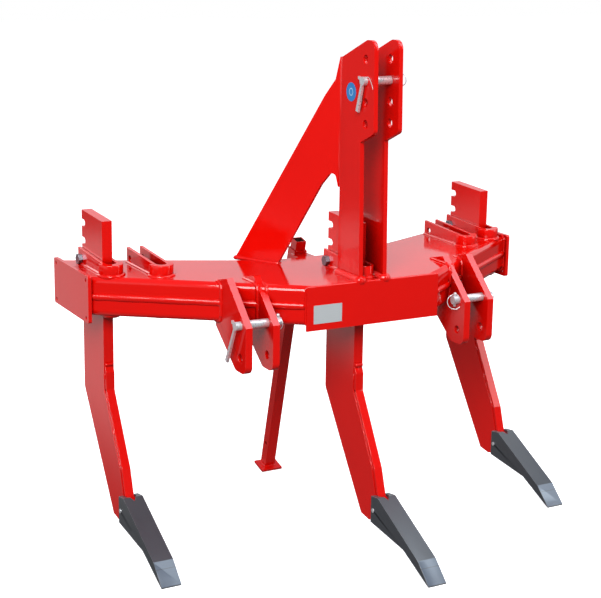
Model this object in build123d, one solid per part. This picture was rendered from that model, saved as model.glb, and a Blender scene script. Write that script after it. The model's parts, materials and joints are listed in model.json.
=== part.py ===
from build123d import *
import math
import os

# Three-tine subsoiler for a rear three-point linkage, in millimetres.
# +Z is up, -Y is the tractor side, X = 0 is the plane of symmetry, and Z = 0 is the ground
# under the points and the parking foot. Lengths along Y are given back from the face plate.

os.makedirs("parts", exist_ok=True)

# Points and parking foot, which set the footprint and so the origin
tip_reach = 429.0
foot_back = 783.0
face_y = (tip_reach - foot_back) / 2

# Folded box beam, swept back in plan
beam_top = 898.0
beam_bottom = 768.0
beam_wall = 8.0
bend_radius = 20.0
overall_width = 1675.0
flange_thick = 12.0
nose_to_ear = 102.5
nose_set = 8.0
front_sweep = 0.72
rear_flat_half = 130.0
rear_set = 413.0
rear_sweep = 0.453

# Face plate on the beam's nose
face_thick = 8.0
face_top = 896.0
face_bottom = 751.0

# End flanges with their bolt holes, standing out round the beam
flange_lip_front = 18.5
flange_lip_rear = 10.0
flange_lip_top = 7.0
flange_lip_bottom = 21.5
flange_corner = 8.0
flange_hole = 13.0
flange_hole_edge_y = 22.0
flange_hole_edge_z = 16.0

# Tine pockets: U-shaped liners through the beam, with a cap on the front of the outer ones
tine_thick = 35.0
pocket_clear = 1.0
liner_wall = 10.5
liner_below = 10.0
collar_front_top = 938.0
collar_rise = 13.0
pocket_sweep = 0.488
pocket_centre_y = 64.0
pocket_length = 229.0
pocket_to_end = 76.0
pocket_pitch = 147.5
cap_thick = 12.5

# Tines, as seen from the side: distance back from the face plate at the middle tine, and height
shank_rear = 283.0
shank_front = 92.0
shank_top_rear = 1080.0
shank_top_front = 1071.0
notch_radius = 12.0
notch_depth = 19.0
notch_pitch = 61.0
notch_count = 3
notch_low_z = 914.5
bend_rear_z = 461.0
bend_front_z = 497.0
bend_blend = 25.0
toe_rear = (20.0, 87.0)
toe_low = (-32.0, 80.0)
toe_front = (-70.0, 182.0)
shank_knee = (-44.0, 262.0)
nose_top = (-190.0, 128.0)
nose_low = (-190.0, 96.0)
sole_z = 92.0
bolt_radius = 12.0
nut_flats = 32.0
nut_height = 14.0

# Wear bar on the front edge of each tine
shin_width = 30.0
shin_thick = 12.0
shin_seat = 10.0
shin_top_z = 585.0
shin_taper = 25.0
shin_end = (-86.0, 174.8)

# Chisel points
point_width = 68.0
point_back = 70.0
point_back_top = 181.0
point_back_low = 89.0
point_crown = (-112.0, 187.0)
point_break = (-363.0, 63.5)
point_heel = (-275.0, 68.0)
tip_edge = 4.0
mouth_side = -98.0
mouth_apex = -126.0
roll_pin_radius = 7.0
roll_pin_proud = 2.0
roll_pin_at = (-84.0, 134.0)

# Mast: two folded cheeks that end in splayed braces
cheek_outer = 53.0
cheek_thick = 15.0
cheek_front = 12.0
fold_at = 157.0
fold_inside = 15.0
brace_angle = 31.0
mast_lean = 1.6
head_front = -70.5
chin_z = 1350.0
chin_rise = 36.0
chin_round = 16.0
apex_y = -26.5
apex_rise = 326.0
brow_round = 30.0
shoulder_drop = 64.0
brace_step = (23.0, 74.0)
brace_shoulder = (62.0, 129.0)
brace_foot_out = 409.0
brace_foot_in = 236.0
window_rise = 330.0
window_arch = 14.0
window_top = (17.0, 37.0)
window_out = 71.0
window_haunch = 42.0
link_rise = 197.0
link_back = -18.0
link_pitch = 68.0
link_radius = 14.0
link_clear = 0.5

# Lower hitch ears
hitch_spread = 825.0
ear_gap = 72.0
ear_thick = 24.0
ear_front = -12.0
ear_slant_low = 789.0
ear_slant_top = (131.0, 921.0)
ear_tail = 3.0
ear_hole_y = 29.0
ear_low_hole_z = 684.0
ear_hole_rise = 106.0
ear_below_hole = 48.0
ear_toe_y = 62.0
ear_round = 28.0
ear_back = (212.0, 750.0)
hitch_pin_radius = 14.0
hitch_clear = 0.5

# Flat handles on the pins, from the pin's axis: nub to the rear, arm down to a wider end
handle_thick = 8.0
handle_neck = 4.5
handle_end = 7.0
nub_reach = (24.0, 10.0)
hitch_arm = (63.0, -130.0)
link_arm = (28.0, -98.0)
hitch_pin_proud = 20.0
link_pin_proud = 14.0
pin_tail = 22.0

# Parking leg, leaning back at the foot, whose plate is square to it
leg_lean = 13.9
leg_size = 40.0
leg_wall = 4.0
leg_length = 953.5
leg_clear = 1.0
leg_hole_up = 101.0
leg_hole_radius = 6.5
foot_thick = 8.0
foot_width = 84.0
foot_ahead = 42.0
foot_behind = 30.0
sleeve_wall = 4.0
sleeve_top_up = 918.5
sleeve_bottom_up = 789.0
bracket_wall = 8.0
bracket_drop = 13.0
bracket_foot_z = 783.0

nose_half = hitch_spread / 2 - ear_gap / 2 - ear_thick - nose_to_ear
beam_half = overall_width / 2 - flange_thick
mid_z = (beam_top + beam_bottom) / 2
slot_half = tine_thick / 2 + pocket_clear
liner_half = slot_half + liner_wall
outer_x = beam_half - pocket_to_end
inner_x = outer_x - pocket_pitch
collar_rear_top = collar_front_top + collar_rise
ear_high_hole_z = ear_low_hole_z + ear_hole_rise
link_hole_z = chin_z + link_rise


def at(y, z):
    """Point of a side view, measured back from the face plate."""
    return (face_y + y, z)


def cut_plate(plane, points, thick, rounds=None):
    """Plate cut to an outline; rounds gives the radius of some corners by their place in the list."""
    radii = [(rounds or {}).get(i, 0) for i in range(len(points))]
    with BuildPart() as plate:
        with BuildSketch(plane):
            with BuildLine():
                FilletPolyline(*points, radius=radii, close=True)
            make_face()
        extrude(amount=thick)
    return plate.part


def side_plate(points, x_low, x_high, rounds=None):
    """Plate cut to a side view and set between two distances across."""
    return cut_plate(Plane.YZ.offset(x_low), points, x_high - x_low, rounds)


def prism(points, z_low, z_high):
    """Upright body on a plan view."""
    return cut_plate(Plane.XY.offset(z_low), points, z_high - z_low)


def bar_x(radius, x_low, x_high, y, z):
    """Round bar across the machine."""
    plane = Plane(origin=(x_low, face_y + y, z), x_dir=(0, 1, 0), z_dir=(1, 0, 0))
    return extrude(plane * Circle(radius), x_high - x_low)


def beside(points, distance):
    """Line at an even distance from a bent line, with mitred corners."""
    bends = [Vector(*p) for p in points]
    runs = [(b - a).normalized() for a, b in zip(bends, bends[1:])]
    result = []
    for p, before, after in zip(bends, [runs[0]] + runs, runs + [runs[-1]]):
        across = Vector(before.Y + after.Y, -before.X - after.X)
        p = p + across * (distance / (1 + before.dot(after)))
        result.append((p.X, p.Y))
    return result


def save(solid, name):
    export_step(solid, "parts/" + name + ".step")


def mirrored(solid):
    return mirror(solid, about=Plane.YZ)


def front_line(x):
    return nose_set + front_sweep * max(0.0, abs(x) - nose_half)


def rear_line(x):
    return rear_set + rear_sweep * max(0.0, abs(x) - rear_flat_half)


def beam_plan(inset, end):
    """Closed outline of the swept beam, drawn in by a wall and run out to an end."""
    front_in = inset * math.hypot(1, front_sweep)
    rear_in = inset * math.hypot(1, rear_sweep)
    half = [
        (nose_half, nose_set + inset),
        (end, front_line(end) + front_in),
        (end, rear_line(end) - rear_in),
        (rear_flat_half, rear_set - inset),
    ]
    right = [(x, face_y + y) for x, y in half]
    left = [(-x, y) for x, y in reversed(right)]
    return right + left


def half_block():
    """Outer form of the beam's upper half, with its long folds rounded."""
    outer = prism(beam_plan(0, beam_half), mid_z, beam_top)
    folds = [
        e
        for e in outer.edges().group_by(Axis.Z)[-1]
        if abs(abs(e.center().X) - (nose_half + beam_half) / 2) < 1
        or abs(abs(e.center().X) - (rear_flat_half + beam_half) / 2) < 1
    ]
    return fillet(folds, bend_radius)


pockets = [
    ("left_outer", -outer_x),
    ("left_inner", -inner_x),
    ("centre", 0.0),
    ("right_inner", inner_x),
    ("right_outer", outer_x),
]


def pocket_y(x):
    return pocket_centre_y + pocket_sweep * abs(x)


def slot_plan(x, half, rear):
    """U-shaped outline: round in front, straight to the rear."""
    yc = face_y + pocket_y(x)
    round_part = Pos(x, yc) * Circle(half)
    straight = Pos(x, yc + rear / 2) * Rectangle(2 * half, rear)
    return round_part + straight


def notch_y(x):
    return pocket_y(x) + shank_rear - pocket_centre_y - notch_depth


def pocket(x):
    """Liner with its collar, cut to the slope of the collar's top."""
    low = beam_bottom - liner_below
    reach = liner_half + cap_thick
    front = pocket_y(x) - reach
    rear = pocket_y(x) + pocket_length
    front_top = collar_front_top - collar_rise * reach / pocket_length
    side = [at(front, low), at(rear, low), at(rear, collar_rear_top), at(front, front_top)]
    ring = slot_plan(x, liner_half, pocket_length)
    hole = slot_plan(x, slot_half, pocket_length + liner_wall)
    liner = extrude(Plane.XY.offset(low) * (ring - hole), collar_rear_top - low)
    if x != 0:
        cap = Circle(reach) - Circle(liner_half)
        cap = cap & Pos(0, -reach / 2) * Rectangle(2 * reach, reach)
        cap = Plane.XY.offset(beam_top) * (Pos(x, face_y + pocket_y(x)) * cap)
        liner = liner + extrude(cap, collar_rear_top - beam_top)
    liner = liner & side_plate(side, x - reach, x + reach)
    return liner - bar_x(bolt_radius, x - reach, x + reach, notch_y(x), notch_low_z)


def pocket_bolt(x):
    """Bolt across the collar, in the tine's lowest notch."""
    y = notch_y(x)
    bolt = bar_x(bolt_radius, x - liner_half, x + liner_half, y, notch_low_z)
    hexagon = RegularPolygon(nut_flats / 2, 6, major_radius=False)
    for start in (x - liner_half - nut_height, x + liner_half):
        plane = Plane(origin=(start, face_y + y, notch_low_z), x_dir=(0, 1, 0), z_dir=(1, 0, 0))
        bolt = bolt + extrude(plane * hexagon, nut_height)
    return bolt


# Beam: two folded half shells, welded to each other at mid height
block = half_block()
beam_solid = block + mirror(block, about=Plane.XY.offset(mid_z))
cavity = prism(beam_plan(beam_wall, beam_half + beam_wall), mid_z - beam_wall, beam_top - beam_wall)
upper = block - cavity
lower = mirror(upper, about=Plane.XY.offset(mid_z))
for name, x in pockets:
    cut = extrude(Plane.XY.offset(face_bottom) * slot_plan(x, liner_half, pocket_length), beam_top)
    upper = upper - cut
    lower = lower - cut
save(upper, "frame_top_shell")
save(lower, "frame_bottom_shell")

face = Pos(0, face_y + face_thick / 2, (face_top + face_bottom) / 2) * Box(
    2 * nose_half, face_thick, face_top - face_bottom
)
save(face, "front_plate")


def flange():
    front = front_line(beam_half) - flange_lip_front
    back = rear_line(beam_half) + flange_lip_rear
    top = beam_top + flange_lip_top
    bottom = beam_bottom - flange_lip_bottom
    middle = (beam_half, face_y + (front + back) / 2, (top + bottom) / 2)
    with BuildPart() as plate:
        with BuildSketch(Plane(origin=middle, x_dir=(0, 1, 0), z_dir=(1, 0, 0))):
            RectangleRounded(back - front, top - bottom, flange_corner)
            with GridLocations(
                back - front - 2 * flange_hole_edge_y, top - bottom - 2 * flange_hole_edge_z, 2, 2
            ):
                Circle(flange_hole / 2, mode=Mode.SUBTRACT)
        extrude(amount=flange_thick)
    return plate.part


right_flange = flange()
save(right_flange, "end_flange_right")
save(mirrored(right_flange), "end_flange_left")

for name, x in pockets:
    save(pocket(x), "tine_pocket_" + name)


def shank(x):
    """Tine blade: straight through the pocket, then bent forward to the toe."""
    dy = pocket_y(x) - pocket_centre_y
    profile = [
        (shank_rear, shank_top_rear),
        (shank_front, shank_top_front),
        (shank_front, bend_front_z),
        shank_knee,
        toe_front,
        nose_top,
        nose_low,
        (-point_back, sole_z),
        toe_low,
        toe_rear,
        (shank_rear, bend_rear_z),
    ]
    half = tine_thick / 2
    bends = {2: bend_blend, 10: bend_blend}
    solid = side_plate([at(y + dy, z) for y, z in profile], x - half, x + half, bends)
    for i in range(notch_count):
        z = notch_low_z + i * notch_pitch
        solid = solid - bar_x(notch_radius, x - half, x + half, notch_y(x), z)
        opening = Pos(x, face_y + shank_rear + dy, z) * Box(tine_thick, 2 * notch_depth, 2 * notch_radius)
        solid = solid - opening
    return solid - bar_x(roll_pin_radius, x - half, x + half, roll_pin_at[0] + dy, roll_pin_at[1])


def shin(x):
    """Bar welded down the front edge, from above the bend into the point's mouth."""
    dy = pocket_y(x) - pocket_centre_y
    edge = [(shank_front, shin_top_z), (shank_front, bend_front_z), shank_knee, toe_front, shin_end]
    face_side = beside(edge, shin_thick)
    face_side[0] = (shank_front - shin_thick, shin_top_z - shin_taper)
    seat_side = beside(edge, -shin_seat)
    outline = face_side[:-1] + [shin_end] + seat_side[-2::-1] + [edge[0]]
    points = [at(y + dy, z) for y, z in outline]
    return side_plate(points, x - shin_width / 2, x + shin_width / 2, {1: bend_blend - shin_thick})


def point(x):
    """Chisel point with a mouth at the top of its rear, where the tine goes in."""
    dy = pocket_y(x) - pocket_centre_y
    profile = [
        (-point_back, point_back_low),
        (-point_back, point_back_top),
        point_crown,
        point_break,
        (-tip_reach, tip_edge),
        (-tip_reach, 0),
        point_heel,
    ]
    solid = side_plate([at(y + dy, z) for y, z in profile], x - point_width / 2, x + point_width / 2)
    half = tine_thick / 2
    mouth = [
        (x - half, face_y - point_back + dy),
        (x - half, face_y + mouth_side + dy),
        (x, face_y + mouth_apex + dy),
        (x + half, face_y + mouth_side + dy),
        (x + half, face_y - point_back + dy),
    ]
    return solid - prism(mouth, nose_top[1], point_crown[1])


for name, x in (("left", -outer_x), ("centre", 0.0), ("right", outer_x)):
    body = shank(x)
    save(body, "tine_shank_" + name)
    bar = shin(x) - body
    pin_half = point_width / 2 + roll_pin_proud
    pin_y = roll_pin_at[0] + pocket_y(x) - pocket_centre_y
    pin = bar_x(roll_pin_radius, x - pin_half, x + pin_half, pin_y, roll_pin_at[1])
    save(bar, "tine_shin_" + name)
    save(point(x) - body - bar - pin, "tine_point_" + name)
    save(pin, "point_pin_" + name)
    save(pocket_bolt(x), "pocket_bolt_" + name)


def mast_y(y, z):
    """Distance back of a line in the mast that leans back from the beam's top."""
    return y + (z - beam_top) * math.tan(math.radians(mast_lean))


def cheek():
    """Left mast cheek: upright plate, bent outwards into the brace."""
    mid_x = cheek_outer - cheek_thick / 2
    turn = math.radians(brace_angle)
    fold_centre = fold_inside + cheek_thick / 2
    tangent = fold_centre * math.tan(turn / 2)
    shoulder_z = chin_z + apex_rise - shoulder_drop
    window_z = beam_top + window_rise
    window_low = window_z - window_haunch
    front = [
        (cheek_front, beam_top),
        (cheek_front, chin_z),
        (head_front, chin_z + chin_rise),
        (head_front, chin_z + apex_rise),
        (apex_y, chin_z + apex_rise),
    ]
    upright = [at(mast_y(y, z), z) for y, z in front]
    upright += [at(fold_at - tangent, shoulder_z), at(fold_at - tangent, beam_top)]
    rounds = {2: chin_round, 3: brow_round, 4: brow_round}
    plate = side_plate(upright, -cheek_outer, -cheek_outer + cheek_thick, rounds)
    outer = fold_inside + cheek_thick
    wedge = [
        (0, 0),
        (2 * outer, 0),
        (2 * outer * math.cos(turn), 2 * outer * math.sin(turn)),
    ]
    sector = (Circle(outer) - Circle(fold_inside)) & make_face(Polyline(*wedge, close=True))
    fold_place = Pos(-mid_x - fold_centre, face_y + fold_at - tangent)
    fold = extrude(Plane.XY.offset(window_low) * (fold_place * sector), shoulder_z - window_low)
    brace_plane = Plane(
        origin=(-mid_x, face_y + fold_at, 0),
        x_dir=(-math.sin(turn), math.cos(turn), 0),
        z_dir=(math.cos(turn), math.sin(turn), 0),
    ).offset(-cheek_thick / 2)
    outline = [
        (tangent, window_low),
        (tangent, shoulder_z),
        (brace_step[0], shoulder_z - brace_step[1]),
        (brace_shoulder[0], shoulder_z - brace_shoulder[1]),
        (brace_foot_out, beam_top),
        (brace_foot_in, beam_top),
        (window_out, window_low),
        (window_top[1], window_z),
        (window_top[0], window_z),
    ]
    brace = cut_plate(brace_plane, outline, cheek_thick, {7: window_arch, 8: window_arch})
    solid = plate + fold + brace
    for i in range(-2, 2):
        z = link_hole_z + i * link_pitch
        y = mast_y(link_back, z)
        solid = solid - bar_x(link_radius + link_clear, -cheek_outer, -cheek_outer + cheek_thick, y, z)
    return solid


left_cheek = cheek()
save(left_cheek, "mast_cheek_left")
save(mirrored(left_cheek), "mast_cheek_right")


def ear(x_low, x_high):
    """Hitch ear: slanted top, upright front, and a tail that runs out along the beam."""
    bottom = ear_low_hole_z - ear_below_hole
    points = [
        at(ear_front, ear_slant_low),
        at(*ear_slant_top),
        at(ear_back[0], beam_top + ear_tail),
        at(*ear_back),
        at(ear_toe_y, bottom),
        at(ear_front, bottom),
    ]
    plate = side_plate(points, x_low, x_high, {4: ear_round, 5: ear_round}) - beam_solid
    for z in (ear_low_hole_z, ear_high_hole_z):
        plate = plate - bar_x(hitch_pin_radius + hitch_clear, x_low, x_high, ear_hole_y, z)
    return plate


half_gap = ear_gap / 2
ear_places = [
    ("right_inner", hitch_spread / 2 - half_gap - ear_thick),
    ("right_outer", hitch_spread / 2 + half_gap),
]
for name, x in ear_places:
    plate = ear(x, x + ear_thick)
    save(plate, "hitch_plate_" + name)
    save(mirrored(plate), "hitch_plate_" + name.replace("right", "left"))


def handled_pin(radius, x_left, x_right, y, z, arm):
    """Pin with a flat handle on its left end."""
    nub = Vector(*nub_reach)
    tip = Vector(*arm)
    along = tip.normalized()
    across = Vector(-along.Y, along.X)
    outline = [
        tip + across * handle_end,
        tip - across * handle_end,
        across * -handle_neck,
        along * -handle_neck,
        nub + Vector(0, handle_neck),
        nub - Vector(0, handle_neck),
        across * handle_neck,
    ]
    points = [at(y + p.X, z + p.Y) for p in outline]
    handle = side_plate(points, x_left, x_left + handle_thick)
    return bar_x(radius, x_left, x_right, y, z) + handle


# Pins
pin_reach = half_gap + ear_thick
hitch_pin = handled_pin(
    hitch_pin_radius,
    -hitch_spread / 2 - pin_reach - hitch_pin_proud,
    -hitch_spread / 2 + pin_reach + pin_tail,
    ear_hole_y,
    ear_high_hole_z,
    hitch_arm,
)
save(hitch_pin, "hitch_pin_left")
save(mirrored(hitch_pin), "hitch_pin_right")
link_pin = handled_pin(
    link_radius,
    -cheek_outer - link_pin_proud,
    cheek_outer + pin_tail,
    mast_y(link_back, link_hole_z),
    link_hole_z,
    link_arm,
)
save(link_pin, "top_link_pin")

# Parking leg, drawn upright on its foot plate and then leaned over
lean = math.radians(leg_lean)
leg_place = Pos(
    0, face_y + foot_back - foot_behind * math.cos(lean), foot_ahead * math.sin(lean)
) * Rot(leg_lean, 0, 0)
tube_plan = Rectangle(leg_size, leg_size) - Rectangle(leg_size - 2 * leg_wall, leg_size - 2 * leg_wall)
tube = extrude(Plane.XY.offset(foot_thick) * tube_plan, leg_length - foot_thick)
tube = tube - Pos(0, 0, leg_hole_up) * Rot(0, 90, 0) * Cylinder(leg_hole_radius, leg_size)
save(leg_place * tube, "leg_tube")
foot = Pos(0, (foot_behind - foot_ahead) / 2, foot_thick / 2) * Box(
    foot_width, foot_ahead + foot_behind, foot_thick
)
save(leg_place * foot, "leg_foot")

bore_size = leg_size + 2 * leg_clear
sleeve_size = bore_size + 2 * sleeve_wall
sleeve_plan = Rectangle(sleeve_size, sleeve_size) - Rectangle(bore_size, bore_size)
sleeve = leg_place * extrude(
    Plane.XY.offset(sleeve_bottom_up) * sleeve_plan, sleeve_top_up - sleeve_bottom_up
)
sleeve_core = leg_place * extrude(Rectangle(sleeve_size, sleeve_size), leg_length)
bracket_half = sleeve_size / 2 + bracket_wall
bracket_top = beam_top - bracket_drop


def leg_axis_y(z):
    rise = z - foot_ahead * math.sin(lean)
    return foot_back - foot_behind * math.cos(lean) - rise * math.tan(lean)


side = [
    at(rear_set, bracket_top),
    at(leg_axis_y(bracket_top), bracket_top),
    at(leg_axis_y(bracket_foot_z), bracket_foot_z),
    at(rear_set, bracket_foot_z),
]
roof = [
    at(rear_set, bracket_top),
    at(leg_axis_y(bracket_top), bracket_top),
    at(leg_axis_y(bracket_top), bracket_top - bracket_wall),
    at(rear_set, bracket_top - bracket_wall),
]
bracket = side_plate(side, -bracket_half, -sleeve_size / 2)
bracket = bracket + mirrored(bracket) + side_plate(roof, -bracket_half, bracket_half)
save(sleeve + (bracket - sleeve_core), "leg_sleeve")
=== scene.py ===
import json
import math

import bmesh
import bpy
from mathutils import Matrix, Vector, noise


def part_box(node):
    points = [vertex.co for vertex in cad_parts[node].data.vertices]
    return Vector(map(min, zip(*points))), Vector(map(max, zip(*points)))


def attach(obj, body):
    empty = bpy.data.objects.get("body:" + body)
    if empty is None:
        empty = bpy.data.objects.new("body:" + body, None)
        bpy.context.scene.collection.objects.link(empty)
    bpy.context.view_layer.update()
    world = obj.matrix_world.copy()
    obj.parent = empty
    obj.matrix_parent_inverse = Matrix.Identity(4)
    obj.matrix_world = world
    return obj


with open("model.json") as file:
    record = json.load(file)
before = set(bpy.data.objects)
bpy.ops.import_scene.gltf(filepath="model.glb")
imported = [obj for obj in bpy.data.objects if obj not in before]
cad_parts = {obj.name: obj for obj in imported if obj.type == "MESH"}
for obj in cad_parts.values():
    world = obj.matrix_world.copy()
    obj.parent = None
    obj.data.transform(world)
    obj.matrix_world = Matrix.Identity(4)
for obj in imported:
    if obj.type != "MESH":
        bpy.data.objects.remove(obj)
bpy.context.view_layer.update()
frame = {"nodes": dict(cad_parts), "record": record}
nodes = frame["nodes"]
print("frame loaded:", len(nodes), "nodes")

# where the photograph was taken from
camera = {
    "azimuth": -29.028,
    "elevation": 12.689,
    "roll": 1.012,
    "fromPlate": (-2.4105, -3.9465, 1.971),  # metres from the face plate's front, on the ground
    "focalPixels": 1452.8,
    "centrePixel": (315.8, 269.4),
    "frameSize": (601, 598),
    "sensorWidth": 36.0,
}
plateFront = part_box("front_plate")[0].y


def makeCamera(opts):
    a = math.radians(opts["azimuth"])
    e = math.radians(opts["elevation"])
    back = Vector((math.sin(a) * math.cos(e), -math.cos(a) * math.cos(e), math.sin(e)))
    right = Vector((math.cos(a), math.sin(a), 0.0))
    up = back.cross(right)
    data = bpy.data.cameras.new("photoCamera")
    obj = bpy.data.objects.new("photoCamera", data)
    bpy.context.collection.objects.link(obj)
    turn = Matrix((right, up, back)).transposed()
    turn = turn @ Matrix.Rotation(math.radians(opts["roll"]), 3, "Z")
    place = Vector(opts["fromPlate"]) + Vector((0, plateFront, 0))
    obj.matrix_world = Matrix.Translation(place) @ turn.to_4x4()
    width, height = opts["frameSize"]
    data.sensor_fit = "HORIZONTAL"
    data.sensor_width = opts["sensorWidth"]
    data.lens = opts["focalPixels"] * opts["sensorWidth"] / width
    data.shift_x = (width / 2 - opts["centrePixel"][0]) / width
    data.shift_y = (opts["centrePixel"][1] - height / 2) / width
    data.clip_end = 100.0
    bpy.context.scene.camera = obj


makeCamera(camera)
bpy.context.scene.view_settings.view_transform = "Standard"
print("camera placed")

# studio: pale floor, white surround and soft lights
floorOpts = {
    "size": 60.0,
    "level": 0.92,
    "roughness": 0.9,
    "mottle": 0.02,
    "scale": 3.0,
    "cloudRange": (0.3, 0.7),
    "seenGlow": 0.70,
    # painted light given off by the floor to all rays but the camera's: a painted shadow near the machine,
    # a painted bright strip to its left, dim far off
    "near": 0.14,
    "left": 0.62,
    "far": 0.16,
    "leftReach": (0.85, 1.35),
    "backReach": (-0.2, 0.7),
    "farReach": (5.2, 6.2),
}
skyOpts = {
    "stops": (
        (0.49, (0.50, 0.50, 0.50)),
        (0.52, (0.86, 0.87, 0.90)),
        (0.66, (0.80, 0.83, 0.88)),
        (0.80, (0.36, 0.39, 0.44)),
        (1.00, (0.26, 0.29, 0.34)),
    ),
    "strength": 1.0,
    "frontDark": ((0.45, 0.75), 0.22),
    "seen": (1.0, 1.0, 1.0),
}
lights = [
    {"name": "keyLight", "size": 4.0, "power": 640.0, "place": (-3.7, -5.1, 5.2)},
    {"name": "fillLight", "size": 3.0, "power": 90.0, "place": (5.4, -3.4, 3.0)},
    {"name": "cloudLight", "size": 2.6, "power": 92.0, "place": (2.4, -1.6, 4.9), "tint": (0.8, 0.91, 1.0)},
    {"name": "backLight", "size": 3.0, "power": 85.0, "place": (-1.6, 5.2, 3.6)},
    {"name": "sideCloud", "size": 2.6, "power": 26.0, "place": (2.8, 2.1, 4.9)},
]
lightTarget = Vector((0, 0, 0.8))


def addNode(tree, kind, place=(0, 0), **values):
    node = tree.nodes.new(kind)
    node.location = place
    for key, value in values.items():
        setattr(node, key, value)
    return node


def linkTo(tree, source, target):
    tree.links.new(source, target)


def addMath(tree, kind, place, first, second, clamp=False):
    node = addNode(tree, "ShaderNodeMath", place, operation=kind, use_clamp=clamp)
    for socket, value in zip(node.inputs, (first, second)):
        if isinstance(value, (int, float)):
            socket.default_value = value
        else:
            linkTo(tree, value, socket)
    return node.outputs["Value"]


def addRange(tree, place, value, start, end, low=0.0, high=1.0, kind="SMOOTHSTEP"):
    node = addNode(tree, "ShaderNodeMapRange", place, interpolation_type=kind)
    linkTo(tree, value, node.inputs["Value"])
    for label, number in (("From Min", start), ("From Max", end), ("To Min", low), ("To Max", high)):
        node.inputs[label].default_value = number
    return node.outputs["Result"]


def makeFloor(opts):
    mesh = bpy.data.meshes.new("studioFloor")
    bm = bmesh.new()
    bmesh.ops.create_grid(bm, x_segments=12, y_segments=12, size=opts["size"] / 2)
    bm.to_mesh(mesh)
    bm.free()
    obj = bpy.data.objects.new("studioFloor", mesh)
    bpy.context.collection.objects.link(obj)
    mat = bpy.data.materials.new("floorPale")
    mat.use_nodes = True
    tree = mat.node_tree
    shader = tree.nodes["Principled BSDF"]
    cloud = addNode(tree, "ShaderNodeTexNoise", (-600, 300))
    cloud.inputs["Scale"].default_value = opts["scale"]
    place = addNode(tree, "ShaderNodeTexCoord", (-1200, 0))
    linkTo(tree, place.outputs["Object"], cloud.inputs["Vector"])
    least = opts["level"] - opts["mottle"]
    tone = addRange(tree, (-400, 300), cloud.outputs["Fac"], *opts["cloudRange"], least, opts["level"])
    linkTo(tree, tone, shader.inputs["Base Color"])
    shader.inputs["Roughness"].default_value = opts["roughness"]
    shader.inputs["Specular IOR Level"].default_value = 0.0
    # painted light: for all rays but the camera's the floor glows, with a painted shadow dark round the
    # machine, a painted bright strip to its left and a dim glow far off
    split = addNode(tree, "ShaderNodeSeparateXYZ", (-1000, -400))
    linkTo(tree, place.outputs["Object"], split.inputs["Vector"])
    reach = addNode(tree, "ShaderNodeVectorMath", (-1000, -200), operation="LENGTH")
    linkTo(tree, place.outputs["Object"], reach.inputs[0])
    across = addMath(tree, "MULTIPLY", (-900, -400), split.outputs["X"], -1.0)
    leftward = addRange(tree, (-750, -400), across, *opts["leftReach"])
    backward = addRange(tree, (-750, -600), split.outputs["Y"], *opts["backReach"])
    both = addMath(tree, "MULTIPLY", (-600, -500), leftward, backward)
    strip = addRange(tree, (-500, -500), both, 0.0, 1.0, opts["near"], opts["left"], "LINEAR")
    away = addRange(tree, (-750, -200), reach.outputs["Value"], *opts["farReach"])
    bounce = addNode(tree, "ShaderNodeMix", (-500, -300))
    linkTo(tree, strip, bounce.inputs["A"])
    bounce.inputs["B"].default_value = opts["far"]
    linkTo(tree, away, bounce.inputs["Factor"])
    glow = addNode(tree, "ShaderNodeEmission", (-200, -300))
    linkTo(tree, bounce.outputs["Result"], glow.inputs["Color"])
    white = addNode(tree, "ShaderNodeEmission", (-200, 100))
    white.inputs["Strength"].default_value = opts["seenGlow"]
    seen = addNode(tree, "ShaderNodeAddShader", (100, 100))
    linkTo(tree, shader.outputs["BSDF"], seen.inputs[0])
    linkTo(tree, white.outputs["Emission"], seen.inputs[1])
    path = addNode(tree, "ShaderNodeLightPath", (100, 400))
    whole = addNode(tree, "ShaderNodeMixShader", (300, 0))
    linkTo(tree, path.outputs["Is Camera Ray"], whole.inputs["Fac"])
    linkTo(tree, glow.outputs["Emission"], whole.inputs[1])
    linkTo(tree, seen.outputs["Shader"], whole.inputs[2])
    linkTo(tree, whole.outputs["Shader"], tree.nodes["Material Output"].inputs["Surface"])
    mesh.materials.append(mat)


def makeSky(opts):
    world = bpy.data.worlds.new("studioSky")
    bpy.context.scene.world = world
    world.use_nodes = True
    tree = world.node_tree
    out = tree.nodes["World Output"]
    soft = tree.nodes["Background"]
    seen = addNode(tree, "ShaderNodeBackground", (0, -200))
    seen.inputs["Color"].default_value = (*opts["seen"], 1)
    place = addNode(tree, "ShaderNodeTexCoord", (-900, 0))
    split = addNode(tree, "ShaderNodeSeparateXYZ", (-700, 0))
    linkTo(tree, place.outputs["Generated"], split.inputs["Vector"])
    ramp = addNode(tree, "ShaderNodeValToRGB", (-450, 0))
    height = addRange(tree, (-600, 0), split.outputs["Z"], -1.0, 1.0, kind="LINEAR")
    linkTo(tree, height, ramp.inputs["Fac"])
    stops = ramp.color_ramp.elements
    while len(stops) < len(opts["stops"]):
        stops.new(1.0)
    for stop, (where, colour) in zip(stops, opts["stops"]):
        stop.position = where
        stop.color = (*colour, 1)
    linkTo(tree, ramp.outputs["Color"], soft.inputs["Color"])
    # the front of the studio stays darker than its back
    (start, end), least = opts["frontDark"]
    full = opts["strength"]
    front = addRange(tree, (-450, -300), split.outputs["Y"], -start, -end, full, full * least, "LINEAR")
    linkTo(tree, front, soft.inputs["Strength"])
    path = addNode(tree, "ShaderNodeLightPath", (0, 300))
    mix = addNode(tree, "ShaderNodeMixShader", (250, 0))
    linkTo(tree, path.outputs["Is Camera Ray"], mix.inputs["Fac"])
    linkTo(tree, soft.outputs["Background"], mix.inputs[1])
    linkTo(tree, seen.outputs["Background"], mix.inputs[2])
    linkTo(tree, mix.outputs["Shader"], out.inputs["Surface"])


def makeLight(opts, target):
    data = bpy.data.lights.new(opts["name"], "AREA")
    data.size = opts["size"]
    data.energy = opts["power"]
    data.color = opts.get("tint", (1.0, 1.0, 1.0))
    obj = bpy.data.objects.new(opts["name"], data)
    bpy.context.collection.objects.link(obj)
    obj.location = opts["place"]
    aim = target - Vector(opts["place"])
    obj.rotation_euler = aim.to_track_quat("-Z", "Y").to_euler()


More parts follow.
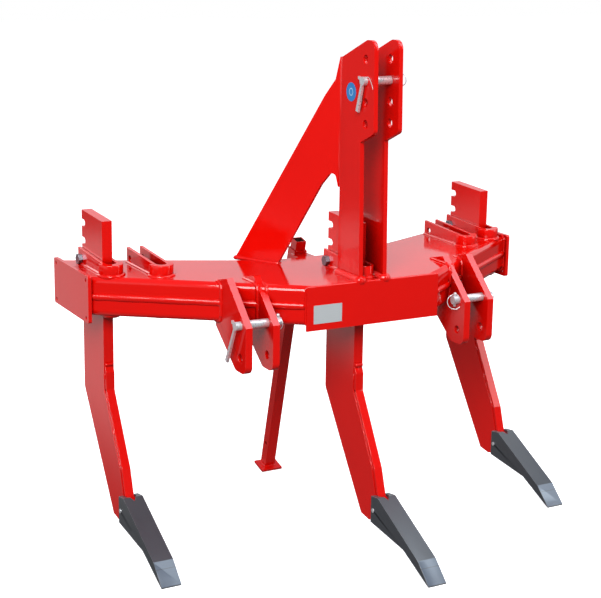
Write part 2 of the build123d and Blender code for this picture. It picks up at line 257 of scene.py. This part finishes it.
makeFloor(floorOpts)
makeSky(skyOpts)
for light in lights:
    makeLight(light, lightTarget)
print("studio ready")


# shared effects
def newGroup(name, inputs, outputs):
    group = bpy.data.node_groups.new(name, "ShaderNodeTree")
    for label, value in inputs:
        socket = group.interface.new_socket(name=label, in_out="INPUT", socket_type="NodeSocketFloat")
        socket.default_value = value
    for label, kind in outputs:
        group.interface.new_socket(name=label, in_out="OUTPUT", socket_type=kind)
    entry = addNode(group, "NodeGroupInput", (-900, 0))
    leave = addNode(group, "NodeGroupOutput", (600, 0))
    return group, entry, leave


def makeOrangePeel():
    # slow waves and a fine skin, as sprayed enamel dries
    group, entry, leave = newGroup(
        "orangePeel",
        [("Wave Scale", 40.0), ("Skin Scale", 400.0), ("Skin Share", 0.3)],
        [("Height", "NodeSocketFloat"), ("Cloud", "NodeSocketFloat")],
    )
    place = addNode(group, "ShaderNodeTexCoord", (-1100, -200))
    wave = addNode(group, "ShaderNodeTexNoise", (-600, 200))
    skin = addNode(group, "ShaderNodeTexNoise", (-600, -100))
    cloud = addNode(group, "ShaderNodeTexNoise", (-600, -400))
    cloud.inputs["Scale"].default_value = 5.0
    cloud.inputs["Detail"].default_value = 4.0
    for tex in (wave, skin, cloud):
        linkTo(group, place.outputs["Object"], tex.inputs["Vector"])
    linkTo(group, entry.outputs["Wave Scale"], wave.inputs["Scale"])
    linkTo(group, entry.outputs["Skin Scale"], skin.inputs["Scale"])
    mix = addNode(group, "ShaderNodeMix", (0, 0))
    linkTo(group, entry.outputs["Skin Share"], mix.inputs["Factor"])
    linkTo(group, wave.outputs["Fac"], mix.inputs["A"])
    linkTo(group, skin.outputs["Fac"], mix.inputs["B"])
    linkTo(group, mix.outputs["Result"], leave.inputs["Height"])
    linkTo(group, cloud.outputs["Fac"], leave.inputs["Cloud"])
    return group


def makeEdgeMask():
    # 1 along edges, broken up by noise, 0 on open faces; on the red enamel it paints an edge highlight, on
    # the black steel it marks paler bare edges
    group, entry, leave = newGroup(
        "edgeWearAndHighlight",
        [("Radius", 0.003), ("Spread", 8.0), ("Breakup", 60.0)],
        [("Mask", "NodeSocketFloat")],
    )
    soft = addNode(group, "ShaderNodeBevel", (-600, 200), samples=4)
    linkTo(group, entry.outputs["Radius"], soft.inputs["Radius"])
    geometry = addNode(group, "ShaderNodeNewGeometry", (-600, 0))
    dot = addNode(group, "ShaderNodeVectorMath", (-400, 100), operation="DOT_PRODUCT")
    linkTo(group, soft.outputs["Normal"], dot.inputs[0])
    linkTo(group, geometry.outputs["Normal"], dot.inputs[1])
    turned = addMath(group, "SUBTRACT", (-200, 100), 1.0, dot.outputs["Value"])
    gain = addMath(group, "MULTIPLY", (0, 100), turned, entry.outputs["Spread"])
    place = addNode(group, "ShaderNodeTexCoord", (-800, -300))
    tex = addNode(group, "ShaderNodeTexNoise", (-600, -300))
    linkTo(group, place.outputs["Object"], tex.inputs["Vector"])
    linkTo(group, entry.outputs["Breakup"], tex.inputs["Scale"])
    broken = addMath(group, "MULTIPLY", (200, 0), gain, tex.outputs["Fac"], True)
    linkTo(group, broken, leave.inputs["Mask"])
    return group


orangePeel = makeOrangePeel()
edgeWearAndHighlight = makeEdgeMask()

paintOpts = {
    "red": (0.74, 0.0035, 0.0012),
    "deepRed": (0.66, 0.003, 0.001),
    # paler red painted along edges as a highlight
    "edgeHighlightRed": (0.78, 0.008, 0.005),
    # dark red painted in as shade in holes, slots and tight corners, as far as the ambient occlusion
    # reaches
    "cavity": (0.20, 0.0010, 0.0006),
    "cavityReach": 0.12,
    "cavityRange": (0.14, 0.58),
    "roughness": 0.085,
    "index": 1.5,
    "bump": 0.10,
    "bumpDepth": 0.002,
}
blackOpts = {
    "black": (0.027, 0.031, 0.039),
    "dull": (0.046, 0.050, 0.059),
    "bare": (0.20, 0.20, 0.21),
    "roughness": (0.26, 0.40),
    "index": 2.0,
    "bump": 0.18,
    "bumpDepth": 0.0008,
    "tile": (0.070, 0.092, 0.130),
    "tileWay": (0.0, -0.6696, 0.7427),
    "tileEdge": 0.985,
    "jointHeight": 0.045,
    "jointWidth": 0.0007,
}
zincOpts = {
    "bright": (0.84, 0.85, 0.87),
    "cloudy": (0.68, 0.69, 0.72),
    "metallic": 0.6,
    "roughness": (0.2, 0.4),
    "bump": 0.08,
    "bumpDepth": 0.0004,
}
boltOpts = {
    "bright": (0.24, 0.26, 0.30),
    "cloudy": (0.15, 0.16, 0.19),
    "metallic": 1.0,
    "roughness": (0.22, 0.38),
    "bump": 0.12,
    "bumpDepth": 0.0004,
}


def startMaterial(name):
    mat = bpy.data.materials.new(name)
    mat.use_nodes = True
    return mat, mat.node_tree, mat.node_tree.nodes["Principled BSDF"]


def placeGroup(tree, group, place, values):
    node = addNode(tree, "ShaderNodeGroup", place, node_tree=group)
    for key, value in values.items():
        node.inputs[key].default_value = value
    return node


def mixColours(tree, place, first, second, factor):
    mix = addNode(tree, "ShaderNodeMix", place, data_type="RGBA")
    for socket, value in ((mix.inputs["A"], first), (mix.inputs["B"], second)):
        if isinstance(value, tuple):
            socket.default_value = (*value, 1)
        else:
            linkTo(tree, value, socket)
    linkTo(tree, factor, mix.inputs["Factor"])
    return mix.outputs["Result"]


def addBump(tree, shader, height, opts):
    bump = addNode(tree, "ShaderNodeBump", (-200, -400))
    bump.inputs["Strength"].default_value = opts["bump"]
    bump.inputs["Distance"].default_value = opts["bumpDepth"]
    linkTo(tree, height, bump.inputs["Height"])
    linkTo(tree, bump.outputs["Normal"], shader.inputs["Normal"])


def makeRedEnamel(opts):
    mat, tree, shader = startMaterial("redEnamel")
    peel = placeGroup(tree, orangePeel, (-900, 0), {"Wave Scale": 35.0, "Skin Scale": 300.0})
    edgeLightening = placeGroup(tree, edgeWearAndHighlight, (-900, -300), {"Radius": 0.0025, "Spread": 5.0})
    body = mixColours(tree, (-600, 200), opts["deepRed"], opts["red"], peel.outputs["Cloud"])
    # painted highlight: edges lightened towards a paler red
    edgeLightened = mixColours(tree, (-400, 200), body, opts["edgeHighlightRed"], edgeLightening.outputs["Mask"])
    # painted shade: ambient occlusion darkens the base colour towards a dark red in holes, slots and tight
    # corners
    cavity = addNode(tree, "ShaderNodeAmbientOcclusion", (-600, 500), samples=6)
    cavity.inputs["Distance"].default_value = opts["cavityReach"]
    unshaded = addRange(tree, (-400, 500), cavity.outputs["AO"], *opts["cavityRange"])
    colour = mixColours(tree, (-200, 300), opts["cavity"], edgeLightened, unshaded)
    linkTo(tree, colour, shader.inputs["Base Color"])
    shader.inputs["Roughness"].default_value = opts["roughness"]
    shader.inputs["IOR"].default_value = opts["index"]
    addBump(tree, shader, peel.outputs["Height"], opts)
    return mat


def makeBlackSteel(opts):
    # dull black, with a paler hard tile on the tip's upper face
    mat, tree, shader = startMaterial("blackSteel")
    scales = {"Wave Scale": 90.0, "Skin Scale": 900.0, "Skin Share": 0.5}
    grain = placeGroup(tree, orangePeel, (-900, 0), scales)
    edgeLightening = placeGroup(tree, edgeWearAndHighlight, (-900, -300), {"Radius": 0.002, "Spread": 6.0})
    body = mixColours(tree, (-600, 200), opts["black"], opts["dull"], grain.outputs["Cloud"])
    place = addNode(tree, "ShaderNodeTexCoord", (-1100, 700))
    geometry = addNode(tree, "ShaderNodeNewGeometry", (-1100, 500))
    facing = addNode(tree, "ShaderNodeVectorMath", (-900, 500), operation="DOT_PRODUCT")
    linkTo(tree, geometry.outputs["True Normal"], facing.inputs[0])
    facing.inputs[1].default_value = opts["tileWay"]
    tile = addMath(tree, "GREATER_THAN", (-700, 500), facing.outputs["Value"], opts["tileEdge"])
    split = addNode(tree, "ShaderNodeSeparateXYZ", (-900, 700))
    linkTo(tree, place.outputs["Object"], split.inputs["Vector"])
    gap = addMath(tree, "SUBTRACT", (-700, 700), split.outputs["Z"], opts["jointHeight"])
    near = addMath(tree, "ABSOLUTE", (-550, 700), gap, 0.0)
    clear = addMath(tree, "GREATER_THAN", (-400, 700), near, opts["jointWidth"])
    shown = addMath(tree, "MULTIPLY", (-250, 600), tile, clear)
    edgeLightened = mixColours(tree, (-400, 200), body, opts["bare"], edgeLightening.outputs["Mask"])
    colour = mixColours(tree, (-200, 300), edgeLightened, opts["tile"], shown)
    linkTo(tree, colour, shader.inputs["Base Color"])
    rough = addRange(tree, (-400, -100), grain.outputs["Cloud"], 0.0, 1.0, *opts["roughness"])
    linkTo(tree, rough, shader.inputs["Roughness"])
    shader.inputs["IOR"].default_value = opts["index"]
    addBump(tree, shader, grain.outputs["Height"], opts)
    return mat


def makePlatedSteel(name, opts):
    mat, tree, shader = startMaterial(name)
    grain = placeGroup(tree, orangePeel, (-900, 0), {"Wave Scale": 150.0, "Skin Scale": 1200.0})
    colour = mixColours(tree, (-400, 200), opts["bright"], opts["cloudy"], grain.outputs["Cloud"])
    linkTo(tree, colour, shader.inputs["Base Color"])
    shader.inputs["Metallic"].default_value = opts["metallic"]
    rough = addRange(tree, (-400, -100), grain.outputs["Height"], 0.0, 1.0, *opts["roughness"])
    linkTo(tree, rough, shader.inputs["Roughness"])
    addBump(tree, shader, grain.outputs["Height"], opts)
    return mat


materials = {
    "paint_red": makeRedEnamel(paintOpts),
    "point_black": makeBlackSteel(blackOpts),
    "zinc": makePlatedSteel("zincPlate", zincOpts),
}
boltSteel = makePlatedSteel("boltSteel", boltOpts)
print("materials made:", len(materials))

# dressing of the CAD nodes: material by slot and slightly broken edges
edgeOpts = {
    "plateEdge": 0.0012,
    "mastEdge": 0.0022,
    "smallEdge": 0.0006,
    "smallSize": 0.06,
    "sharpAngle": 35.0,
    "pointAngle": 10.0,
    "steps": 2,
    "merge": 0.00002,
}


def dressNode(obj, slotName, opts):
    mesh = obj.data
    mesh.materials.clear()
    mesh.materials.append(boltSteel if "bolt" in obj.name else materials[slotName])
    low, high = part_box(obj.name)
    small = sorted(high - low)[1] < opts["smallSize"]
    weld = obj.modifiers.new("joinVertices", "WELD")
    weld.merge_threshold = opts["merge"]
    bevel = obj.modifiers.new("brokenEdges", "BEVEL")
    bevel.width = opts["smallEdge"] if small else opts["plateEdge"]
    if obj.name.startswith("mast_cheek"):
        bevel.width = opts["mastEdge"]
    bevel.segments = opts["steps"]
    bevel.limit_method = "ANGLE"
    flatSided = obj.name.startswith("tine_point")
    bevel.angle_limit = math.radians(opts["pointAngle"] if flatSided else opts["sharpAngle"])
    bevel.harden_normals = True
    bevel.use_clamp_overlap = True


for part in frame["record"]["subparts"]:
    dressNode(nodes[part["node"]], part["material_slot"], edgeOpts)
print("nodes dressed")


# weld beads and tubes: past these cosines another axis serves to turn the rings by
uprightCosine = 0.95
sidewaysCosine = 0.9


def spread(points, step):
    # points along a polyline, a step apart
    route = []
    for a, b in zip(points, points[1:]):
        count = max(1, round((b - a).length / step))
        route += [a.lerp(b, i / count) for i in range(count)]
    return route + [points[-1]]


def bridgeRings(bm, rings, closed):
    # faces from ring to ring, and the two ends when the run is open
    pairs = list(zip(rings, rings[1:]))
    if closed:
        pairs.append((rings[-1], rings[0]))
    sides = len(rings[0])
    for one, two in pairs:
        for k in range(sides):
            j = (k + 1) % sides
            bm.faces.new((one[k], one[j], two[j], two[k]))
    if not closed:
        bm.faces.new(rings[0])
        bm.faces.new(reversed(rings[-1]))


def addBead(bm, points, opts, closed):
    # rippled bead along a polyline; "flat" squeezes it across the face it lies on
    route = spread([Vector(p) for p in points], opts["step"])
    if closed:
        route.pop()
    total = len(route)
    rings = []
    for i, p in enumerate(route):
        if closed:
            along = route[(i + 1) % total] - route[i - 1]
        else:
            along = route[min(i + 1, total - 1)] - route[max(i - 1, 0)]
        along.normalize()
        side = along.orthogonal() if abs(along.z) > uprightCosine else along.cross(Vector((0, 0, 1)))
        side.normalize()
        up = side.cross(along)
        ripple = abs(math.sin(math.pi * i * opts["step"] / opts["ripple"]))
        wander = noise.noise(p * opts["wanderScale"])
        radius = opts["radius"] * (1 + opts["rippleDepth"] * (ripple - 0.5) + opts["wander"] * wander)
        fromEnd = (min(i, total - 1 - i) + opts["endStart"]) * opts["step"]
        ends = 1.0 if closed else min(1.0, fromEnd / opts["radius"])
        radius *= math.sqrt(max(0.0, 1 - (1 - ends) ** 2))
        ring = []
        for k in range(opts["sides"]):
            turn = 2 * math.pi * k / opts["sides"]
            offset = side * math.cos(turn) * opts["flat"] + up * math.sin(turn)
            ring.append(bm.verts.new(p + offset * radius))
        rings.append(ring)
    bridgeRings(bm, rings, closed)


creaseAngle = math.radians(50)


def finishPiece(name, bm, material, body="frame"):
    bmesh.ops.recalc_face_normals(bm, faces=bm.faces)
    for edge in bm.edges:
        edge.smooth = edge.calc_face_angle(0.0) < creaseAngle
    mesh = bpy.data.meshes.new(name)
    bm.to_mesh(mesh)
    bm.free()
    mesh.shade_smooth()
    mesh.materials.append(material)
    obj = bpy.data.objects.new(name, mesh)
    bpy.context.collection.objects.link(obj)
    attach(obj, body)


def makeBeads(name, routes, opts, body="frame"):
    bm = bmesh.new()
    for points, closed in routes:
        addBead(bm, points, opts, closed)
    finishPiece(name, bm, materials["paint_red"], body)


filletOpts = {
    "radius": 0.007,
    "flat": 1.0,
    "step": 0.002,
    "ripple": 0.005,
    "rippleDepth": 0.10,
    "wander": 0.16,
    "wanderScale": 25.0,
    "endStart": 0.6,
    "sides": 10,
}
seamOpts = {**filletOpts, "radius": 0.0115, "flat": 0.75, "rippleDepth": 0.05, "wander": 0.10}
heavyOpts = {**filletOpts, "radius": 0.016, "wander": 0.10}
fineOpts = {**filletOpts, "radius": 0.004, "ripple": 0.0035}
beamOpts = {
    "frontSweep": 0.72,
    "rearSweep": 0.453,
    "rearFlatHalf": 0.130,
    "noseSet": 0.008,
    "rearSet": 0.413,
    "sink": 0.002,
}

topLow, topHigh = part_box("frame_top_shell")
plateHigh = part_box("front_plate")[1]
seamZ = topLow.z
beamTop = topHigh.z
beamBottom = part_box("frame_bottom_shell")[0].z
beamHalf = topHigh.x
noseHalf = plateHigh.x


def frontY(x):
    return plateFront + beamOpts["noseSet"] + beamOpts["frontSweep"] * max(0.0, abs(x) - noseHalf)


def rearY(x):
    swept = max(0.0, abs(x) - beamOpts["rearFlatHalf"])
    return plateFront + beamOpts["rearSet"] + beamOpts["rearSweep"] * swept


def beamSeams(opts):
    routes = []
    sink = opts["sink"]
    flat = opts["rearFlatHalf"]
    for s in (-1, 1):
        front = [(s * x, frontY(x) + sink, seamZ) for x in (noseHalf, beamHalf)]
        rear = [(s * x, rearY(x) - sink, seamZ) for x in (flat, beamHalf)]
        routes += [(front, False), (rear, False)]
    routes.append(([(-flat, rearY(0) - sink, seamZ), (flat, rearY(0) - sink, seamZ)], False))
    return routes


makeBeads("beamSeamWelds", beamSeams(beamOpts), seamOpts)


pocketOpts = {"half": 0.029, "steps": 12}


def pocketWelds(z, opts):
    routes = []
    half = opts["half"]
    for place in ("left_outer", "left_inner", "centre", "right_inner", "right_outer"):
        low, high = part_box("tine_pocket_" + place)
        x = (low.x + high.x) / 2
        wide = (high.x - low.x) / 2 if z > seamZ else half
        front = low.y + (high.x - low.x) / 2
        points = [(x - half, high.y, z), (x - half, front, z)]
        for i in range(opts["steps"] + 1):
            turn = math.pi * i / opts["steps"]
            points.append((x - wide * math.cos(turn), front - wide * math.sin(turn), z))
        points += [(x + half, front, z), (x + half, high.y, z)]
        routes.append((points, False))
    return routes


def boxRing(xs, ys, z):
    # closed loop round an upright piece
    corners = [(xs[0], ys[0]), (xs[1], ys[0]), (xs[1], ys[1]), (xs[0], ys[1]), (xs[0], ys[0])]
    return [(x, y, z) for x, y in corners]


mastOpts = {
    "outer": 0.053,
    "inner": 0.038,
    "front": 0.012,
    "rear": 0.151,
    "foldAt": 0.157,
    "brace": 31.0,
    "footIn": 0.236,
    "footOut": 0.409,
    "half": 0.0075,
}


def mastWelds(opts):
    cheeks = []
    braces = []
    turn = math.radians(opts["brace"])
    middle = (opts["outer"] + opts["inner"]) / 2
    for s in (-1, 1):
        xs = (s * opts["outer"], s * opts["inner"])
        ys = (plateFront + opts["front"], plateFront + opts["rear"])
        cheeks.append((boxRing(xs, ys, beamTop), True))
        loop = []
        for run, off in (("footIn", -1), ("footOut", -1), ("footOut", 1), ("footIn", 1), ("footIn", -1)):
            away = opts[run] * math.sin(turn) + off * opts["half"] * math.cos(turn)
            rearward = opts[run] * math.cos(turn) - off * opts["half"] * math.sin(turn)
            loop.append((s * (middle + away), plateFront + opts["foldAt"] + rearward, beamTop))
        braces.append((loop, True))
    return cheeks, braces


earOpts = {
    "flatLow": 0.790,
    "flatHigh": 0.878,
    "bendBack": 0.0246,
    "tail": 0.205,
    "under": 0.190,
    "underLeast": 0.02,
    "corner": 0.006,
}


def earWelds(opts):
    routes = []
    for side in ("left_outer", "left_inner", "right_inner", "right_outer"):
        low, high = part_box("hitch_plate_" + side)
        for x in (low.x, high.x):
            y = frontY(x)
            back = y + opts["bendBack"]
            tail = plateFront + opts["tail"]
            cut = opts["corner"]
            under = max(plateFront + opts["under"], back + opts["underLeast"])
            lower = [(x, y, opts["flatLow"]), (x, y + cut, beamBottom + cut), (x, back, beamBottom)]
            upper = [(x, y, opts["flatHigh"]), (x, y + cut, beamTop - cut), (x, back, beamTop)]
            run = [(x, under, beamBottom)] + lower[::-1] + upper
            if tail > back:
                run.append((x, tail, beamTop))
            routes.append((run, False))
    return routes


flangeOpts = {"corner": 0.012}


def flangeWelds(opts):
    # round the box section, on the flange's inner face
    routes = []
    cut = opts["corner"]
    for x in (-beamHalf, beamHalf):
        front, rear = frontY(x), rearY(x)
        loop = [
            (x, front + cut, beamTop),
            (x, rear - cut, beamTop),
            (x, rear, beamTop - cut),
            (x, rear, beamBottom + cut),
            (x, rear - cut, beamBottom),
            (x, front + cut, beamBottom),
            (x, front, beamBottom + cut),
            (x, front, beamTop - cut),
            (x, front + cut, beamTop),
        ]
        routes.append((loop, True))
    return routes


facePlateOpts = {"inset": 0.004, "drop": 0.002}


def facePlateWelds(opts):
    routes = []
    back = plateHigh.y
    low = beamBottom + opts["inset"]
    high = beamTop - opts["inset"]
    for s in (-1, 1):
        routes.append(([(s * noseHalf, back, low), (s * noseHalf, back, high)], False))
    top = plateHigh.z - opts["drop"]
    routes.append(([(-noseHalf, back, top), (noseHalf, back, top)], False))
    return routes


# set-backs are those of a tine whose shank reaches back to "shankBack"
tineOpts = {
    "shankBack": 0.283,
    "front": 0.092,
    "tacks": (
        ((0.092, 0.555), (0.092, 0.535)),
        ((0.079, 0.474), (0.070, 0.458)),
        ((0.023, 0.378), (0.015, 0.364)),
        ((-0.030, 0.286), (-0.038, 0.272)),
    ),
    "half": 0.015,
    "capHeight": 0.587,
    "capDepth": 0.004,
}


def tineWelds(opts):
    edges = []
    caps = []
    for side in ("left", "centre", "right"):
        low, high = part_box("tine_shank_" + side)
        shift = high.y - opts["shankBack"]
        x = (low.x + high.x) / 2
        for s in (-1, 1):
            for tack in opts["tacks"]:
                edges.append(([(x + s * opts["half"], shift + y, z) for y, z in tack], False))
        y = shift + opts["front"] - opts["capDepth"]
        z = opts["capHeight"]
        caps.append(([(x - opts["half"], y, z), (x + opts["half"], y, z)], False))
    return edges, caps


sleeveOpts = {"half": 0.033, "low": 0.790, "high": 0.880}


def sleeveWelds(opts):
    y = rearY(0)
    routes = []
    for x in (-opts["half"], opts["half"]):
        routes.append(([(x, y, opts["low"]), (x, y, opts["high"])], False))
    return routes


legOpts = {"lean": 13.9, "back": 0.783, "behind": 0.030, "ahead": 0.042, "plate": 0.008, "half": 0.020}


def legPoint(opts, x, y, z):
    # from the leg's own upright frame to its leaning place
    lean = math.radians(opts["lean"])
    base = plateFront + opts["back"] - opts["behind"] * math.cos(lean)
    lift = opts["ahead"] * math.sin(lean)
    return (
        x,
        base + y * math.cos(lean) - z * math.sin(lean),
        lift + y * math.sin(lean) + z * math.cos(lean),
    )


def footWelds(opts):
    half = opts["half"]
    corners = ((-half, -half), (half, -half), (half, half), (-half, half), (-half, -half))
    return [([legPoint(opts, x, y, opts["plate"]) for x, y in corners], True)]


makeBeads("pocketWelds", pocketWelds(beamTop, pocketOpts), filletOpts)
makeBeads("pocketWeldsBelow", pocketWelds(beamBottom, pocketOpts), filletOpts)
cheekRings, braceRings = mastWelds(mastOpts)
makeBeads("cheekWelds", cheekRings, heavyOpts)
makeBeads("braceWelds", braceRings, filletOpts)
makeBeads("earWelds", earWelds(earOpts), filletOpts)
makeBeads("flangeWelds", flangeWelds(flangeOpts), filletOpts)
makeBeads("facePlateWelds", facePlateWelds(facePlateOpts), fineOpts)
tineEdges, tineCaps = tineWelds(tineOpts)
makeBeads("shinTacks", tineEdges, fineOpts)
makeBeads("shinCapWelds", tineCaps, filletOpts)
makeBeads("sleeveWelds", sleeveWelds(sleeveOpts), filletOpts)
makeBeads("footWelds", footWelds(legOpts), fineOpts, "parking_leg")
print("welds laid")

# linch pins through the tails of the pins, each with its spring ring
linchOpts = {
    "stem": 0.004,
    "up": 0.020,
    "down": 0.022,
    "knob": 0.0065,
    "wire": 0.0014,
    "steps": 48,
    "sides": 8,
    "endShare": 0.05,
}
wireOpts = {
    "wire": 0.0008,
    "sides": 8,
    "step": 0.003,
    "gap": 0.0015,
    "run": (
        (0.002, 1.556),
        (-0.012, 1.561),
        (-0.024, 1.559),
        (-0.034, 1.549),
        (-0.043, 1.536),
        (-0.048, 1.526),
    ),
}


def addTube(bm, route, radius, sides, closed=False):
    total = len(route)
    rings = []
    for i, p in enumerate(route):
        before = route[i - 1] if closed or i else route[0]
        after = route[(i + 1) % total] if closed or i < total - 1 else route[-1]
        along = (after - before).normalized()
        axis = Vector((1, 0, 0)) if abs(along.x) < sidewaysCosine else Vector((0, 0, 1))
        side = along.cross(axis).normalized()
        up = side.cross(along)
        ring = []
        for k in range(sides):
            turn = 2 * math.pi * k / sides
            ring.append(bm.verts.new(p + (side * math.cos(turn) + up * math.sin(turn)) * radius))
        rings.append(ring)
    bridgeRings(bm, rings, closed)


def makeLinchPin(name, centre, ring, tilt, shift, opts):
    bm = bmesh.new()
    top = centre + Vector((0, 0, opts["up"]))
    low = centre - Vector((0, 0, opts["down"]))
    share = opts["endShare"]
    stem = [low, low.lerp(top, share), low.lerp(top, 1 - share), top]
    addTube(bm, stem, opts["stem"], opts["sides"] * 2)
    knob = Matrix.Translation(top)
    bmesh.ops.create_icosphere(bm, subdivisions=3, radius=opts["knob"], matrix=knob)
    facing = Vector(tilt).normalized()
    side = facing.cross(Vector((0, 0, 1))).normalized()
    up = side.cross(facing)
    middle = centre + Vector(shift)
    route = []
    for i in range(opts["steps"]):
        turn = 2 * math.pi * i / opts["steps"]
        route.append(middle + (side * math.cos(turn) + up * math.sin(turn)) * ring)
    addTube(bm, route, opts["wire"], opts["sides"], True)
    finishPiece(name, bm, materials["zinc"])


def pinTail(name, side, opts):
    # centre of the pin's axis, a little in from the end without the handle
    low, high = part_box(name)
    end = high.x - opts["fromEnd"] if side > 0 else low.x + opts["fromEnd"]
    return Vector((end, opts["y"], opts["z"]))


earPin = {"fromEnd": 0.009, "y": plateFront + 0.029, "z": 0.790}
mastPin = {"fromEnd": 0.007, "y": plateFront, "z": 1.547}
# name, centre, and the spring ring's radius, facing and shift
linchRings = [
    ("linchPinLeft", pinTail("hitch_pin_left", 1, earPin), 0.020, (-0.9, -0.4, 0.1), (0, 0, -0.007)),
    ("linchPinRight", pinTail("hitch_pin_right", -1, earPin), 0.025, (-0.5, -0.83, 0.22), (0, 0, -0.007)),
    ("linchPinTop", pinTail("top_link_pin", 1, mastPin), 0.020, (-0.8, -0.6, 0), (0.007, -0.001, 0)),
]
for name, centre, ring, tilt, shift in linchRings:
    makeLinchPin(name, centre, ring, tilt, shift, linchOpts)


def makeTether(opts):
    bm = bmesh.new()
    x = -mastOpts["outer"] - opts["gap"]
    points = [Vector((x, plateFront + y, z)) for y, z in opts["run"]]
    addTube(bm, spread(points, opts["step"]), opts["wire"], opts["sides"])
    finishPiece("pinTether", bm, materials["zinc"])


makeTether(wireOpts)

# bare rusty steel inside the leg's open top, closed at its foot and coloured very dark as painted shade
boreOpts = {
    "half": 0.0157,
    "low": 0.80,
    "high": 0.9515,
    "steps": 12,
    # very dark: bare, rusty steel darkened with painted shade
    "bare": (0.060, 0.035, 0.026),
    "rust": (0.120, 0.055, 0.030),
    "roughness": 0.8,
    "bump": 0.4,
    "bumpDepth": 0.0006,
}


def makeShadedBareSteel(opts):
    mat, tree, shader = startMaterial("shadedBareSteel")
    scales = {"Wave Scale": 60.0, "Skin Scale": 700.0, "Skin Share": 0.5}
    grain = placeGroup(tree, orangePeel, (-900, 0), scales)
    colour = mixColours(tree, (-400, 200), opts["bare"], opts["rust"], grain.outputs["Height"])
    linkTo(tree, colour, shader.inputs["Base Color"])
    shader.inputs["Roughness"].default_value = opts["roughness"]
    addBump(tree, shader, grain.outputs["Height"], opts)
    return mat


def makeLegBore(opts):
    bm = bmesh.new()
    half = opts["half"]
    corners = ((-half, -half), (half, -half), (half, half), (-half, half))
    rows = []
    for i in range(opts["steps"] + 1):
        z = opts["low"] + (opts["high"] - opts["low"]) * i / opts["steps"]
        rows.append([bm.verts.new(legPoint(legOpts, x, y, z)) for x, y in corners])
    for one, two in zip(rows, rows[1:]):
        for k in range(4):
            bm.faces.new((one[k], two[k], two[(k + 1) % 4], one[(k + 1) % 4]))
    bm.faces.new(rows[0])
    finishPiece("legBore", bm, makeShadedBareSteel(opts), "parking_leg")


makeLegBore(boreOpts)
print("small parts hung")

# data plate on the face plate, round sticker on the mast
dataPlateOpts = {
    "left": 0.025,
    "low": 0.023,
    "width": 0.104,
    "height": 0.061,
    "thick": 0.0008,
    "corner": 0.002,
    "colour": (0.40, 0.42, 0.43),
    "paler": 1.15,
    "brushing": (20.0, 20.0, 1500.0),
    "roughness": 0.7,
    "bump": 0.1,
    "bumpDepth": 0.0002,
}
stickerOpts = {
    "radius": 0.0305,
    "fromPlate": 0.088,
    "height": 1.505,
    "thick": 0.0006,
    "blue": (0.013, 0.19, 0.50),
    "pale": (0.35, 0.62, 0.82),
    "ringAt": 0.36,
    "ringHalf": 0.05,
    "roughness": 0.35,
}
cornerSteps = 6


def roundedPlate(width, height, thick, radius, plane):
    # flat plate with rounded corners, standing proud along the plane's normal
    bm = bmesh.new()
    outline = []
    for cx, cy, start in ((1, 1, 0), (-1, 1, 90), (-1, -1, 180), (1, -1, 270)):
        for i in range(cornerSteps + 1):
            turn = math.radians(start + 90 * i / cornerSteps)
            u = cx * (width / 2 - radius) + radius * math.cos(turn)
            v = cy * (height / 2 - radius) + radius * math.sin(turn)
            outline.append(bm.verts.new(plane @ Vector((u, v, 0))))
    base = bm.faces.new(outline)
    raised = bmesh.ops.extrude_face_region(bm, geom=[base])
    top = [v for v in raised["geom"] if isinstance(v, bmesh.types.BMVert)]
    lift = plane.to_3x3() @ Vector((0, 0, thick))
    bmesh.ops.translate(bm, verts=top, vec=lift)
    return bm


def makeSheetMetal(opts):
    mat, tree, shader = startMaterial("brushedSheet")
    place = addNode(tree, "ShaderNodeTexCoord", (-1000, 0))
    stretch = addNode(tree, "ShaderNodeMapping", (-800, 0))
    stretch.inputs["Scale"].default_value = opts["brushing"]
    tex = addNode(tree, "ShaderNodeTexNoise", (-600, 0))
    tex.inputs["Scale"].default_value = 1.0
    linkTo(tree, place.outputs["Object"], stretch.inputs["Vector"])
    linkTo(tree, stretch.outputs["Vector"], tex.inputs["Vector"])
    pale = tuple(c * opts["paler"] for c in opts["colour"])
    colour = mixColours(tree, (-300, 200), opts["colour"], pale, tex.outputs["Fac"])
    linkTo(tree, colour, shader.inputs["Base Color"])
    shader.inputs["Roughness"].default_value = opts["roughness"]
    addBump(tree, shader, tex.outputs["Fac"], opts)
    return mat


def makeDataPlate(opts):
    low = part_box("front_plate")[0]
    across = opts["left"] + opts["width"] / 2
    up = opts["low"] + opts["height"] / 2
    centre = low + Vector((across, 0, up))
    plane = Matrix.Translation(centre) @ Matrix.Rotation(math.pi / 2, 4, "X")
    bm = roundedPlate(opts["width"], opts["height"], opts["thick"], opts["corner"], plane)
    finishPiece("dataPlate", bm, makeSheetMetal(opts))


def makeStickerMaterial(opts, centre):
    mat, tree, shader = startMaterial("blueSticker")
    place = addNode(tree, "ShaderNodeTexCoord", (-1200, 0))
    shift = addNode(tree, "ShaderNodeVectorMath", (-1000, 0), operation="DISTANCE")
    shift.inputs[1].default_value = centre
    linkTo(tree, place.outputs["Object"], shift.inputs[0])
    ring = addNode(tree, "ShaderNodeMath", (-800, 0), operation="COMPARE")
    ring.inputs[1].default_value = opts["radius"] * opts["ringAt"]
    ring.inputs[2].default_value = opts["radius"] * opts["ringHalf"]
    linkTo(tree, shift.outputs["Value"], ring.inputs[0])
    colour = mixColours(tree, (-400, 200), opts["blue"], opts["pale"], ring.outputs["Value"])
    linkTo(tree, colour, shader.inputs["Base Color"])
    shader.inputs["Roughness"].default_value = opts["roughness"]
    return mat


def makeSticker(opts):
    centre = Vector((-mastOpts["outer"], plateFront + opts["fromPlate"], opts["height"]))
    plane = Matrix.Translation(centre) @ Matrix.Rotation(-math.pi / 2, 4, "Y")
    width = opts["radius"] * 2
    bm = roundedPlate(width, width, opts["thick"], opts["radius"], plane)
    finishPiece("roundSticker", bm, makeStickerMaterial(opts, centre))


makeDataPlate(dataPlateOpts)
makeSticker(stickerOpts)
print("plates set")
